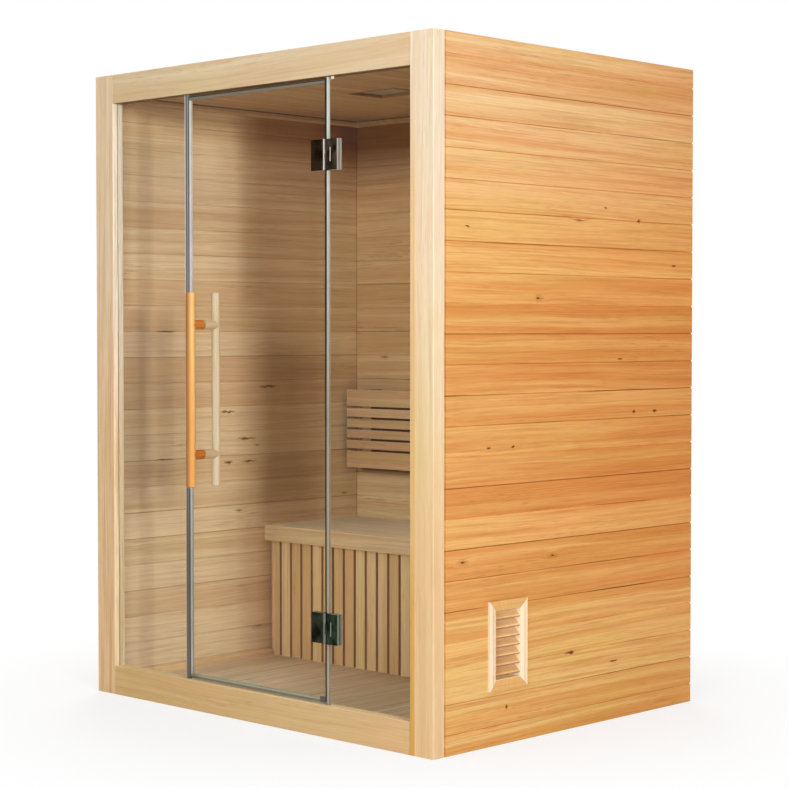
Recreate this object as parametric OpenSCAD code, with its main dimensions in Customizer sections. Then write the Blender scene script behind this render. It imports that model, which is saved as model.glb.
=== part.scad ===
// Two-seat sauna cabin with a glass front.
// The front face looks along -Y, the floor lies on Z = 0 and the origin is the middle of the footprint.

/* [Cabin] */
// Width over the side walls
cabin_w = 1500; // [1200:10:2000]
// Depth from the front frame to the back wall
cabin_d = 1200; // [1000:10:1600]
// Height over all
cabin_h = 2000; // [1900:10:2200]
// Thickness of the outer boards
cladding_t = 20; // [15:1:30]
// Thickness of the inner boards
lining_t = 20; // [12:1:30]

/* [Boards] */
// Face width of one wall board
board_pitch = 85.6; // [60:0.1:120]
// Height of the lowest joint outside
outer_first_joint = 57; // [30:1:59]
// Height of the lowest joint inside
inner_first_joint = 63; // [30:1:80]
// Width of the groove between two boards
groove_w = 4; // [2:0.5:6]
// Depth of the groove between two boards
groove_d = 2; // [1:0.5:5]
// Height of the notch that each outer joint leaves in the rear corner
notch_h = 7; // [4:0.5:9]
// Depth of that notch
notch_deep = 4; // [3:0.5:7]
// Width of the upright joint between a front post and the outer side boards
post_joint_w = 5; // [3:0.5:8]
// Depth of that joint
post_joint_d = 4; // [2:0.5:8]
// Face width of a floor, ceiling or roof board
deck_pitch = 94; // [60:1:140]

/* [Front frame] */
// Width of a front post
post_w = 90; // [70:1:120]
// Height of the header and of the sill
rail_h = 92; // [70:1:120]
// Thickness of the front frame
frame_t = 45; // [38:1:60]
// Flat planed on each long edge of the frame, the bench and the backrest
arris = 2; // [1:0.5:4]

/* [Glass] */
// Thickness of the glass
glass_t = 8; // [6:1:10]
// Distance of the glass behind the front face
glass_set = 17; // [14:1:20]
// Depth that the fixed glass goes into the frame
glass_bite = 12; // [8:1:16]
// Room on each face of the glass in its groove and at the hinges
glass_clear = 0.3; // [0.1:0.1:1]
// Room over and beside the fixed glass in its grooves
glass_room = 2; // [1:0.5:4]

/* [Door] */
// Width of the door with its edge seal
door_w = 606; // [560:1:660]
// Distance of the door's centre line right of the cabin's
door_shift = 3; // [-10:1:10]
// Gap beside the door
side_gap = 6; // [5:0.5:9]
// Gap over and under the door
end_gap = 6.5; // [6:0.5:10]

/* [Seals] */
// Face width of the seal on the left glass
latch_seal_w = 14; // [10:1:18]
// Face width of the seal on the door's free edge
door_seal_w = 10; // [8:1:16]
// Face width of the seal on the right glass
hinge_seal_w = 10; // [8:1:16]
// Face height of the seals over and under the door
end_seal_h = 12; // [8:1:16]
// Thickness of a seal
seal_t = 1; // [0.8:0.1:1.5]

/* [Hinges] */
// Height of a hinge
hinge_h = 89; // [70:1:110]
// Width of a hinge plate
hinge_plate_w = 47; // [36:1:60]
// Thickness of a hinge plate
hinge_plate_t = 8; // [6:0.5:10]
// Flat polished on the upright edges of a hinge plate
plate_edge = 0.8; // [0.4:0.1:1.2]
// Length of the slot in the fixed leaf's outer plate
slot_l = 42; // [30:1:56]
// Width of that slot
slot_w = 5; // [4:0.5:6]
// Depth of that slot
slot_deep = 1.5; // [1:0.25:2.5]
// Distance of the slot from the plate's edge at the pin
slot_set = 20; // [14:1:24]
// Distance of each hinge centre from the door's middle
hinge_reach = 685; // [500:5:740]
// Diameter of the hinge barrel
barrel_d = 11; // [10:0.5:12]
// Room between the barrel and the glass
barrel_clear = 0.5; // [0.3:0.1:1]
// Thickness of the web between a barrel and its plate
web_t = 8; // [5:1:9]
// Diameter of the hinge pin
pin_d = 6; // [5:0.5:7]
// Radial room of the pin in its knuckle
pin_clear = 0.05; // [0.02:0.01:0.1]
// Room between a plate and the pivot line
plate_gap = 7; // [6.5:0.5:9]
// Room between two knuckles
knuckle_gap = 0.5; // [0.3:0.1:1]
// Depth of the part that goes through the glass
bridge_w = 8; // [6:1:14]
// Height of the part that goes through the glass
bridge_h = 36; // [24:1:50]

/* [Handle] */
// Length of a handle bar
handle_l = 600; // [400:10:900]
// Diameter of the outer handle bar
handle_d = 30; // [24:1:36]
// Diameter of the inner handle bar
inner_handle_d = 26; // [22:1:36]
// Radius turned on the ends of a handle bar
handle_end_r = 4; // [2:0.5:5]
// Diameter of a handle post
handle_post_d = 30; // [18:1:32]
// Distance between the two posts of a handle
handle_post_spread = 400; // [300:2:500]
// Distance of the handles' middle under the door's middle
handle_drop = 3; // [0:1:60]
// Distance of the outer bar's centre from the glass
handle_standoff = 46.5; // [40:0.5:60]
// Distance of the inner bar's centre from the glass
inner_standoff = 51; // [40:0.5:60]
// Distance of the bars from the door's free edge
handle_inset = 59; // [45:1:90]
// Diameter of the stud that clamps both handles through the glass
stud_d = 10; // [8:1:12]
// Room round the stud in the glass
stud_clear = 1; // [0.5:0.5:2]
// Room between a post's hollow end and its bar
saddle_clear = 0.2; // [0.1:0.1:0.5]

/* [Floor and roof] */
// Height of the floor bearers
bearer_h = 25; // [20:1:40]
// Width of a floor bearer
bearer_w = 60; // [40:1:80]
// Number of floor bearers, and of roof joists
bearer_count = 7; // [5:2:9]
// Thickness of the floor boards
floor_t = 15; // [12:1:20]
// Thickness of the roof boards
roof_t = 15; // [12:1:20]
// Height of the roof joists
joist_h = 30; // [20:1:40]
// Thickness of the ceiling boards
ceiling_t = 15; // [12:1:20]
// Width and height of the trim under the ceiling and along the floor
trim_s = 20; // [12:1:24]
// Flat on the trim's free edge
trim_flat = 6; // [2:1:8]

/* [Ceiling light] */
// Width of the light panel
light_w = 200; // [160:2:300]
// Depth of the light panel
light_d = 150; // [100:2:220]
// Distance of the light's centre left of the cabin's centre line
light_shift = 8; // [0:1:80]
// Thickness of the light panel
light_t = 8; // [5:1:10]
// Shadow gap round the light panel
light_gap = 4; // [2:0.5:6]

/* [Bench] */
// Height of the seat
bench_h = 498; // [420:1:560]
// Depth of the seat
bench_d = 458; // [400:1:520]
// Thickness of the seat boards
seat_t = 20; // [16:1:28]
// Number of seat boards
seat_count = 4; // [3:1:6]
// Height of the board in front of the seat
fascia_h = 54; // [36:1:70]
// Thickness of that board
fascia_t = 20; // [16:1:28]
// Distance of the slats behind the front of the seat
slat_set = 26; // [24:1:60]
// Thickness of a slat under the bench
slat_t = 15; // [10:1:20]
// Width of a slat under the bench
slat_w = 42; // [30:1:45]
// Number of slats under the bench
slat_count = 27; // [20:1:30]
// Height of the rails and ledgers under the seat
ledger_h = 38; // [30:1:50]
// Thickness of the rails and ledgers
ledger_t = 25; // [18:1:35]

/* [Backrest] */
// Height of the backrest's lower edge
rest_z = 684; // [620:1:760]
// Length left free beside the backrest
rest_margin = 22; // [10:1:60]
// Height of the top and of the bottom board
rest_board_h = 60; // [40:1:80]
// Height of a narrow slat
rest_slat_h = 30.5; // [20:0.5:40]
// Number of narrow slats
rest_slat_count = 4; // [2:1:6]
// Gap between the slats
rest_gap = 8; // [5:0.5:12]
// Thickness of the backrest boards
rest_t = 15; // [12:1:20]
// Width of a batten behind the backrest
batten_w = 43; // [30:1:60]
// Depth of a batten, from the wall to the boards
batten_d = 60; // [30:1:80]
// Distance from the end of the backrest to the outer battens
batten_inset = 64; // [40:1:120]

/* [Air vent] */
// Width of the vent's frame
vent_w = 164; // [150:1:220]
// Height of the vent's frame
vent_h = 256; // [200:1:300]
// Width of the moulding that the frame is made of
vent_member_w = 29; // [24:1:40]
// Distance of the frame in front of the boards
vent_proud = 8; // [6:1:14]
// Width of the moulding's flat outer band
vent_band_w = 13; // [8:1:18]
// Thickness of the moulding at the opening
vent_lip_t = 4; // [3:0.5:5]
// Width and depth of the line between the band and the slope, and of the mitres
vent_line = 1; // [0.5:0.25:1.5]
// Distance of the vent's centre behind the front face
vent_y = 309; // [260:1:600]
// Height of the vent's centre
vent_z = 285; // [240:1:400]
// Thickness of the sleeve through the wall
sleeve_t = 8; // [6:1:10]
// Number of louvres
louvre_count = 7; // [4:1:7]
// Thickness of a louvre
louvre_t = 5; // [4:0.5:7]
// Width of a louvre
louvre_w = 32; // [20:1:34]
// Slope of a louvre
louvre_tilt = 40; // [30:1:50]
// Height left free under the lowest louvre
louvre_foot = 11; // [4:1:20]

/* [Hidden] */

$fn = 48;
cut = 1;

// Room inside the walls
wall_t = cladding_t + lining_t;
room_w = cabin_w - 2 * wall_t;
room_d = cabin_d - frame_t - wall_t;
back_y = cabin_d - wall_t;
floor_z = bearer_h + floor_t;
ceiling_z = cabin_h - roof_t - joist_h - ceiling_t;
side_wall_d = cabin_d - frame_t;

// Clear opening of the front frame
opening_w = cabin_w - 2 * post_w;
opening_z = cabin_h - 2 * rail_h;

// Glass plane, the door's edges and the pivot line
glass_back = glass_set + glass_t;
door_left = door_shift - door_w / 2;
door_right = door_shift + door_w / 2;
door_mid_z = cabin_h / 2;
door_h = opening_z - 2 * end_gap;
door_bottom = rail_h + end_gap;
pivot_x = door_right + side_gap / 2;
pivot_y = glass_set - barrel_d / 2 - barrel_clear;
left_seal_edge = door_left - side_gap;
right_seal_edge = door_right + side_gap;
fixed_glass_h = opening_z + 2 * glass_bite - glass_room;
fixed_glass_z = rail_h - glass_bite;
fixed_glass_edge = opening_w / 2 + glass_bite - glass_room;

// Knuckles: one of the door's between two of the fixed leaf's
knuckle_h = (hinge_h - 2 * knuckle_gap) / 3;

// Handles
handle_x = door_left + handle_inset;
handle_z = door_mid_z - handle_drop;
outer_bar_y = glass_set - handle_standoff;
inner_bar_y = glass_back + inner_standoff;

// Bench
bench_front = back_y - bench_d;
slat_front = bench_front + slat_set;
slat_back = slat_front + slat_t;
slat_pitch = room_w / slat_count;
seat_z = bench_h - seat_t;

// Backrest
rest_front = back_y - batten_d - rest_t;
rest_w = room_w - 2 * rest_margin;
rest_pitch = rest_slat_h + rest_gap;
rest_h = 2 * rest_board_h + rest_gap + rest_slat_count * rest_pitch;
batten_x = rest_w / 2 - batten_inset - batten_w / 2;

// Vent
vent_open_w = vent_w - 2 * vent_member_w;
vent_open_h = vent_h - 2 * vent_member_w;
sleeve_w = vent_open_w + 2 * sleeve_t;
sleeve_h = vent_open_h + 2 * sleeve_t;
louvre_pitch = (vent_open_h - louvre_foot) / louvre_count;

frame_color = "wheat";
board_color = "sandybrown";
inside_color = "burlywood";
glass_color = [0.8, 0.9, 0.88, 0.35];
seal_color = "lightgray";
metal_color = "dimgray";
handle_color = "orange";

// Moves a piece measured from the front face to its place round the origin
module from_front() {
    translate([0, -cabin_d / 2, 0]) children();
}

// Outline of a row of boards: joints are V grooves in the upper side
function grooved_outline(across, thick, pitch, first) = concat(
    [[0, 0], [across, 0], [across, thick]],
    [for (i = [floor((across - groove_w - first) / pitch) : -1 : 0])
        let (g = first + i * pitch)
        each [[g + groove_w / 2, thick], [g, thick - groove_d], [g - groove_w / 2, thick]]],
    [[0, thick]]
);

// A row of boards that lie one over the other, each running along Y, with the grooves on the +X side
module boards_on_side(height, run, thick, first) {
    rotate([0, -90, -90]) linear_extrude(run)
        polygon(grooved_outline(height, thick, board_pitch, first));
}

// A row of boards that lie one over the other, each running along X, with the grooves on the +Y side
module boards_on_back(height, run, thick, first) {
    rotate([0, -90, 0]) linear_extrude(run, center = true)
        polygon(grooved_outline(height, thick, board_pitch, first));
}

// A flat deck of boards side by side, each running along Y, with the grooves on top
module deck(width, run, thick) {
    count = floor(width / deck_pitch);
    first = (width - (count - 1) * deck_pitch) / 2;
    translate([-width / 2, run, 0]) rotate([90, 0, 0]) linear_extrude(run)
        polygon(grooved_outline(width, thick, deck_pitch, first));
}

// Section of a bar with its four edges eased
module eased_section(w, d, flat) {
    polygon([
        [flat, 0], [w - flat, 0], [w, flat], [w, d - flat],
        [w - flat, d], [flat, d], [0, d - flat], [0, flat]
    ]);
}

// A bar that stands up
module upright_bar(w, d, h, flat) {
    linear_extrude(h) eased_section(w, d, flat);
}

// A bar that lies along X
module cross_bar(w, d, h, flat) {
    translate([w, 0, 0]) rotate([0, -90, 0]) linear_extrude(w) eased_section(h, d, flat);
}

// Room for the fixed glass on both sides of the doorway
module glass_grooves() {
    width = glass_t + 2 * glass_clear;
    for (side = [-1, 1])
        let (near = side < 0 ? left_seal_edge : right_seal_edge, far = side * (opening_w / 2 + glass_bite))
            translate([min(near, far), glass_set - glass_clear, fixed_glass_z])
                cube([abs(far - near), width, opening_z + 2 * glass_bite]);
}

module front_post(side) {
    color(frame_color) from_front() difference() {
        translate([side > 0 ? opening_w / 2 : -cabin_w / 2, 0, 0])
            upright_bar(post_w, frame_t, cabin_h, arris);
        glass_grooves();
    }
}

module front_post_left() front_post(-1);
module front_post_right() front_post(1);

module front_rail(z) {
    color(frame_color) from_front() difference() {
        translate([-opening_w / 2, 0, z]) cross_bar(opening_w, frame_t, rail_h, arris);
        glass_grooves();
    }
}

module front_header() front_rail(cabin_h - rail_h);
module front_sill() front_rail(0);

// Holes on the +X side of the pivot line that let both hinges through the glass
module hinge_notches() {
    for (z = [-hinge_reach, hinge_reach])
        translate([0, -cut, z - bridge_h / 2 - glass_clear])
            cube([plate_gap + bridge_w + glass_clear, glass_t + 2 * cut, bridge_h + 2 * glass_clear]);
}

module fixed_glass_left() {
    color(glass_color) from_front()
        translate([-fixed_glass_edge, glass_set, fixed_glass_z])
            cube([fixed_glass_edge + left_seal_edge - seal_t, glass_t, fixed_glass_h]);
}

module fixed_glass_right() {
    color(glass_color) from_front() difference() {
        translate([right_seal_edge + seal_t, glass_set, fixed_glass_z])
            cube([fixed_glass_edge - right_seal_edge - seal_t, glass_t, fixed_glass_h]);
        translate([pivot_x, glass_set, door_mid_z]) hinge_notches();
    }
}

module door_glass() {
    color(glass_color) from_front() difference() {
        translate([door_left + seal_t, glass_set, door_bottom])
            cube([door_w - seal_t, glass_t, door_h]);
        translate([pivot_x, glass_set, door_mid_z]) mirror([1, 0, 0]) hinge_notches();
        for (z = [-1, 1])
            translate([handle_x, glass_set - cut, handle_z + z * handle_post_spread / 2])
                rotate([-90, 0, 0]) cylinder(d = stud_d + 2 * stud_clear, h = glass_t + 2 * cut);
    }
}

// A channel pressed on the edge of a pane: its web lies on the edge and its legs on both faces
module edge_seal(edge, width, side, z, h) {
    translate([edge, glass_set - seal_t, z]) mirror([side < 0 ? 1 : 0, 0, 0]) difference() {
        cube([width, glass_t + 2 * seal_t, h]);
        translate([seal_t, seal_t, -cut]) cube([width, glass_t, h + 2 * cut]);
    }
}

module fixed_seal_left() {
    color(seal_color) from_front()
        edge_seal(left_seal_edge, latch_seal_w, -1, rail_h, opening_z);
}

// The right seal stops over and under each hinge
module fixed_seal_right() {
    color(seal_color) from_front() difference() {
        edge_seal(right_seal_edge, hinge_seal_w, 1, rail_h, opening_z);
        for (z = [-hinge_reach, hinge_reach])
            translate([right_seal_edge - cut, 0, door_mid_z + z - hinge_h / 2 - cut])
                cube([hinge_seal_w + 2 * cut, frame_t, hinge_h + 2 * cut]);
    }
}

// The same channel on the door's free edge and, turned, on its lower and its upper edge
module door_edge_seal() {
    color(seal_color) from_front() difference() {
        union() {
            edge_seal(door_left, door_seal_w, 1, door_bottom, door_h);
            for (upper = [0, 1])
                translate([0, 0, door_mid_z]) mirror([0, 0, upper]) translate([0, 0, -door_mid_z])
                    translate([door_right, 0, 0]) rotate([0, -90, 0])
                        edge_seal(door_bottom - seal_t, end_seal_h, 1, 0, door_w);
        }
        translate([door_left + seal_t, glass_set, door_bottom]) cube([door_w, glass_t, door_h]);
    }
}

// Plates of one hinge leaf on the +X side of the pivot line, clamped through the glass
module leaf_plates() {
    for (y = [glass_set - hinge_plate_t, glass_back])
        translate([plate_gap, y - pivot_y, -hinge_h / 2])
            upright_bar(hinge_plate_w, hinge_plate_t, hinge_h, plate_edge);
    translate([plate_gap, glass_set - pivot_y - cut, -bridge_h / 2])
        cube([bridge_w, glass_t + 2 * cut, bridge_h]);
}

// One knuckle on the pivot line, with the web that joins it to its plate
module knuckle(z) {
    translate([0, 0, z]) {
        cylinder(d = barrel_d, h = knuckle_h);
        translate([0, -web_t / 2, 0]) cube([plate_gap + cut, web_t, knuckle_h]);
    }
}

// Round-ended slot cut in the outer plate
module leaf_slot() {
    translate([plate_gap + slot_set, glass_set - hinge_plate_t - pivot_y + slot_deep, 0]) rotate([90, 0, 0])
        linear_extrude(slot_deep + cut) {
            square([slot_w, slot_l - slot_w], center = true);
            for (side = [-1, 1])
                translate([0, side * (slot_l - slot_w) / 2]) circle(d = slot_w);
        }
}

module fixed_leaf() {
    difference() {
        leaf_plates();
        leaf_slot();
    }
    knuckle(-hinge_h / 2);
    knuckle(hinge_h / 2 - knuckle_h);
    translate([0, 0, -hinge_h / 2]) cylinder(d = pin_d, h = hinge_h);
}

module door_leaf() {
    difference() {
        mirror([1, 0, 0]) union() {
            leaf_plates();
            knuckle(-knuckle_h / 2);
        }
        translate([0, 0, -hinge_h / 2]) cylinder(d = pin_d + 2 * pin_clear, h = hinge_h);
    }
}

module at_hinge(side) {
    color(metal_color) from_front()
        translate([pivot_x, pivot_y, door_mid_z + side * hinge_reach]) children();
}

module upper_hinge_fixed_leaf() at_hinge(1) fixed_leaf();
module upper_hinge_door_leaf() at_hinge(1) door_leaf();
module lower_hinge_fixed_leaf() at_hinge(-1) fixed_leaf();
module lower_hinge_door_leaf() at_hinge(-1) door_leaf();

// A turned bar of diameter d with rounded ends
module handle_bar(y, d) {
    color(handle_color) from_front() translate([handle_x, y, handle_z - handle_l / 2]) rotate_extrude() {
        square([d / 2 - handle_end_r, handle_l]);
        translate([0, handle_end_r]) square([d / 2, handle_l - 2 * handle_end_r]);
        for (z = [handle_end_r, handle_l - handle_end_r])
            translate([d / 2 - handle_end_r, z]) circle(handle_end_r);
    }
}

module handle_outer_bar() handle_bar(outer_bar_y, handle_d);
module handle_inner_bar() handle_bar(inner_bar_y, inner_handle_d);

// Two posts from the glass to a bar, hollowed where they meet it
module handle_posts(glass_y, bar_y, bar_d) {
    difference() {
        for (z = [-1, 1])
            translate([handle_x, min(glass_y, bar_y), handle_z + z * handle_post_spread / 2])
                rotate([-90, 0, 0]) cylinder(d = handle_post_d, h = abs(bar_y - glass_y));
        translate([handle_x, bar_y, handle_z - handle_l / 2])
            cylinder(d = bar_d + 2 * saddle_clear, h = handle_l);
    }
}

// The outer posts carry the studs that go through the glass
module handle_outer_posts() {
    color(handle_color) from_front() {
        handle_posts(glass_set, outer_bar_y, handle_d);
        for (z = [-1, 1])
            translate([handle_x, glass_set - cut, handle_z + z * handle_post_spread / 2])
                rotate([-90, 0, 0]) cylinder(d = stud_d, h = glass_t + cut);
    }
}

module handle_inner_posts() {
    color(handle_color) from_front() handle_posts(glass_back, inner_bar_y, inner_handle_d);
}

// Hole for the vent's sleeve through the right wall
module vent_hole() {
    translate([cabin_w / 2 - wall_t - cut, vent_y - sleeve_w / 2, vent_z - sleeve_h / 2])
        cube([wall_t + 2 * cut, sleeve_w, sleeve_h]);
}

// V notches where the eased edges of the outer boards end at the rear corner
module corner_notches() {
    for (z = [outer_first_joint : board_pitch : cabin_h - notch_h])
        translate([cabin_w / 2, cabin_d, z]) rotate([90, 0, 45])
            linear_extrude(4 * notch_deep, center = true)
                polygon([[0, notch_h / 2], [-notch_deep, 0], [0, -notch_h / 2]]);
}

module side_cladding() {
    difference() {
        translate([cabin_w / 2 - cladding_t, frame_t, 0])
            boards_on_side(cabin_h, side_wall_d, cladding_t, outer_first_joint);
        corner_notches();
        translate([cabin_w / 2 - post_joint_d, frame_t - cut, -cut])
            cube([post_joint_d + cut, post_joint_w + cut, cabin_h + 2 * cut]);
    }
}

module side_lining() {
    translate([cabin_w / 2 - cladding_t, frame_t, 0]) mirror([1, 0, 0])
        boards_on_side(cabin_h, side_wall_d, lining_t, inner_first_joint);
}

module right_wall_cladding() {
    color(board_color) from_front() difference() {
        side_cladding();
        vent_hole();
    }
}

module right_wall_lining() {
    color(inside_color) from_front() difference() {
        side_lining();
        vent_hole();
    }
}

module left_wall_cladding() {
    color(board_color) from_front() mirror([1, 0, 0]) side_cladding();
}

module left_wall_lining() {
    color(inside_color) from_front() mirror([1, 0, 0]) side_lining();
}

module back_wall_cladding() {
    color(board_color) from_front() translate([0, cabin_d - cladding_t, 0])
        boards_on_back(cabin_h, room_w, cladding_t, outer_first_joint);
}

module back_wall_lining() {
    color(inside_color) from_front() translate([0, cabin_d - cladding_t, 0]) mirror([0, 1, 0])
        boards_on_back(cabin_h, room_w, lining_t, inner_first_joint);
}

// A row of bars from wall to wall, spread over the depth of the room
module bearer_row(z, h) {
    pitch = (room_d - bearer_w) / (bearer_count - 1);
    for (i = [0 : bearer_count - 1])
        translate([-room_w / 2, frame_t + i * pitch, z]) cube([room_w, bearer_w, h]);
}

module floor_bearers() {
    color(inside_color) from_front() bearer_row(0, bearer_h);
}

module floor_boards() {
    color(inside_color) from_front() translate([0, frame_t, bearer_h]) deck(room_w, room_d, floor_t);
}

module roof_joists() {
    color(inside_color) from_front() bearer_row(ceiling_z + ceiling_t, joist_h);
}

module roof_boards() {
    color(board_color) from_front() translate([0, frame_t, cabin_h - roof_t])
        deck(room_w, room_d, roof_t);
}

module at_light() {
    translate([-light_shift, (frame_t + back_y) / 2, ceiling_z]) children();
}

module ceiling_lining() {
    color(inside_color) from_front() difference() {
        translate([0, frame_t, ceiling_z + ceiling_t]) mirror([0, 0, 1]) deck(room_w, room_d, ceiling_t);
        at_light() translate([-light_w / 2 - light_gap, -light_d / 2 - light_gap, -cut])
            cube([light_w + 2 * light_gap, light_d + 2 * light_gap, ceiling_t + 2 * cut]);
    }
}

module ceiling_light() {
    color("whitesmoke") from_front() at_light()
        translate([-light_w / 2, -light_d / 2, ceiling_t - light_t]) cube([light_w, light_d, light_t]);
}

// Section of a corner strip: flat against both surfaces, its free edge planed off
module trim_section() {
    polygon([[0, 0], [trim_s, 0], [trim_s, trim_s - trim_flat], [trim_s - trim_flat, trim_s], [0, trim_s]]);
}

// A strip along the left wall, from the front to run, standing on z = 0
module side_strip(run) {
    translate([-room_w / 2, frame_t + run, 0]) rotate([90, 0, 0]) linear_extrude(run) trim_section();
}

module ceiling_trim() {
    color(inside_color) from_front() translate([0, 0, ceiling_z]) mirror([0, 0, 1]) {
        for (side = [0, 1]) mirror([side, 0, 0]) side_strip(room_d);
        translate([0, back_y, 0]) rotate([90, 0, -90]) linear_extrude(room_w, center = true) trim_section();
    }
}

// The skirting runs from the front to the bench's slats
module skirting() {
    color(inside_color) from_front() translate([0, 0, floor_z])
        for (side = [0, 1]) mirror([side, 0, 0]) side_strip(slat_front - frame_t);
}

// Seat boards along X with a groove at each joint
module bench_seat_boards() {
    depth = bench_d - fascia_t;
    pitch = depth / seat_count;
    color(inside_color) from_front() translate([0, bench_front + fascia_t, seat_z])
        rotate([90, 0, 90]) linear_extrude(room_w, center = true)
            polygon(grooved_outline(depth, seat_t, pitch, pitch));
}

module bench_fascia() {
    color(inside_color) from_front() translate([-room_w / 2, bench_front, bench_h - fascia_h])
        cross_bar(room_w, fascia_t, fascia_h, arris);
}

// Upright slats on two rails
module bench_slat_screen() {
    color(inside_color) from_front() {
        for (i = [0 : slat_count - 1])
            translate([-room_w / 2 + (i + 0.5) * slat_pitch - slat_w / 2, slat_front, floor_z])
                upright_bar(slat_w, slat_t, seat_z - floor_z, arris);
        for (z = [floor_z, seat_z - ledger_h])
            translate([-room_w / 2, slat_back, z]) cube([room_w, ledger_t, ledger_h]);
    }
}

module bench_side_ledger() {
    front = slat_back + ledger_t;
    color(inside_color) from_front() translate([-room_w / 2, front, seat_z - ledger_h])
        cube([ledger_t, back_y - ledger_t - front, ledger_h]);
}

module bench_ledger_left() bench_side_ledger();
module bench_ledger_right() mirror([1, 0, 0]) bench_side_ledger();

module bench_ledger_back() {
    color(inside_color) from_front() translate([-room_w / 2, back_y - ledger_t, seat_z - ledger_h])
        cube([room_w, ledger_t, ledger_h]);
}

// A wide board at the top and at the bottom, with narrow slats between them
module backrest_boards() {
    color(inside_color) from_front() translate([-rest_w / 2, rest_front, rest_z]) {
        for (z = [0, rest_h - rest_board_h])
            translate([0, 0, z]) cross_bar(rest_w, rest_t, rest_board_h, arris);
        for (i = [0 : rest_slat_count - 1])
            translate([0, 0, rest_board_h + rest_gap + i * rest_pitch])
                cross_bar(rest_w, rest_t, rest_slat_h, arris);
    }
}

module backrest_batten(x) {
    color(inside_color) from_front() translate([x - batten_w / 2, rest_front + rest_t, rest_z])
        cube([batten_w, batten_d, rest_h]);
}

module backrest_batten_left() backrest_batten(-batten_x);
module backrest_batten_middle() backrest_batten(0);
module backrest_batten_right() backrest_batten(batten_x);

// Puts a piece drawn with X across, Y up and Z outwards on the right wall's outer face
module on_vent() {
    translate([cabin_w / 2, vent_y, vent_z]) rotate([90, 0, 90]) children();
}

// Section of the moulding, from its outer edge on the left to the opening
module moulding_section() {
    slope_start = vent_band_w + vent_line;
    polygon([
        [0, 0], [vent_member_w, 0], [vent_member_w, vent_lip_t], [slope_start, vent_proud],
        [vent_band_w + vent_line / 2, vent_proud - vent_line], [vent_band_w, vent_proud],
        [vent_line, vent_proud], [0, vent_proud - vent_line]
    ]);
}

// One member of the frame on the left side, mitred at both ends
module vent_member(across, length) {
    translate([-across / 2, 0, 0]) intersection() {
        translate([0, length / 2, 0]) rotate([90, 0, 0]) linear_extrude(length) moulding_section();
        linear_extrude(vent_proud) polygon([
            [0, length / 2], [0, -length / 2],
            [vent_member_w, vent_member_w - length / 2], [vent_member_w, length / 2 - vent_member_w]
        ]);
    }
}

// A thin V cut along each mitre
module mitre_lines() {
    half = vent_line / 2;
    for (x = [-1, 1], y = [-1, 1])
        translate([x * vent_w / 2, y * vent_h / 2, vent_proud]) rotate([0, 0, atan2(-y, -x)])
            rotate([90, 0, 90]) linear_extrude(3 * vent_member_w, center = true)
                polygon([[-half, cut], [-half, 0], [0, -vent_line], [half, 0], [half, cut]]);
}

module vent_frame() {
    color(frame_color) from_front() on_vent() {
        difference() {
            union() for (turn = [0, 180]) rotate([0, 0, turn]) {
                vent_member(vent_w, vent_h);
                rotate([0, 0, 90]) vent_member(vent_h, vent_w);
            }
            mitre_lines();
        }
        translate([0, 0, -wall_t]) linear_extrude(wall_t + vent_line) difference() {
            square([sleeve_w, sleeve_h], center = true);
            square([vent_open_w, vent_open_h], center = true);
        }
    }
}

// Sloping louvres that shed water outwards, with their outer edges at the moulding's lip
module vent_louvres() {
    reach = louvre_w * cos(louvre_tilt) + louvre_t * sin(louvre_tilt);
    color(frame_color) from_front() on_vent()
        for (i = [0 : louvre_count - 1])
            translate([0, vent_open_h / 2 - (i + 0.5) * louvre_pitch, vent_lip_t - reach / 2])
                rotate([louvre_tilt, 0, 0])
                    cube([vent_open_w, louvre_t, louvre_w], center = true);
}

front_post_left();
front_post_right();
front_header();
front_sill();
fixed_glass_left();
fixed_glass_right();
door_glass();
fixed_seal_left();
fixed_seal_right();
door_edge_seal();
upper_hinge_fixed_leaf();
upper_hinge_door_leaf();
lower_hinge_fixed_leaf();
lower_hinge_door_leaf();
handle_outer_bar();
handle_outer_posts();
handle_inner_bar();
handle_inner_posts();
left_wall_cladding();
left_wall_lining();
right_wall_cladding();
right_wall_lining();
back_wall_cladding();
back_wall_lining();
floor_bearers();
floor_boards();
roof_joists();
roof_boards();
ceiling_lining();
ceiling_trim();
skirting();
ceiling_light();
bench_seat_boards();
bench_fascia();
bench_slat_screen();
bench_ledger_left();
bench_ledger_right();
bench_ledger_back();
backrest_boards();
backrest_batten_left();
backrest_batten_middle();
backrest_batten_right();
vent_frame();
vent_louvres();
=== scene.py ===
"""Two-seat sauna cabin with a glass front: finishes, small fittings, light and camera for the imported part."""

import math

import bpy
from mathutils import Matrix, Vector


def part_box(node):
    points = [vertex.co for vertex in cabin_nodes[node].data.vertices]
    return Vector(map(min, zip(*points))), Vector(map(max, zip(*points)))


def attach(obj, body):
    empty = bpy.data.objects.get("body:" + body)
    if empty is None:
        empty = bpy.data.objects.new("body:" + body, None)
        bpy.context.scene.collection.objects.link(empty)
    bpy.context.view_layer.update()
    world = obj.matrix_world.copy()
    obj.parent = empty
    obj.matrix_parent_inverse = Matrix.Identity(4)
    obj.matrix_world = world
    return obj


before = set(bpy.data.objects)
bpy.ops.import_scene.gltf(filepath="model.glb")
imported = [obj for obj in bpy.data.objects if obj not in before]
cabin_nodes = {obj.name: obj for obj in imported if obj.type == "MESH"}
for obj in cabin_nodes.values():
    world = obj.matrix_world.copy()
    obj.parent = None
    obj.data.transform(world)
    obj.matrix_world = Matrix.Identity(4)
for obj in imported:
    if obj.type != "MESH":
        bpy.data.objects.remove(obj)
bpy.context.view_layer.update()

# ---- Camera ----------------------------------------------------------------------------------------------
# Stands at chest height off the right front corner, a little over five metres from it, and looks slightly
# down at the cabin.
camera_data = bpy.data.cameras.new("camera")
camera_data.lens = 89.69
camera_data.sensor_width = 36.0
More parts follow.
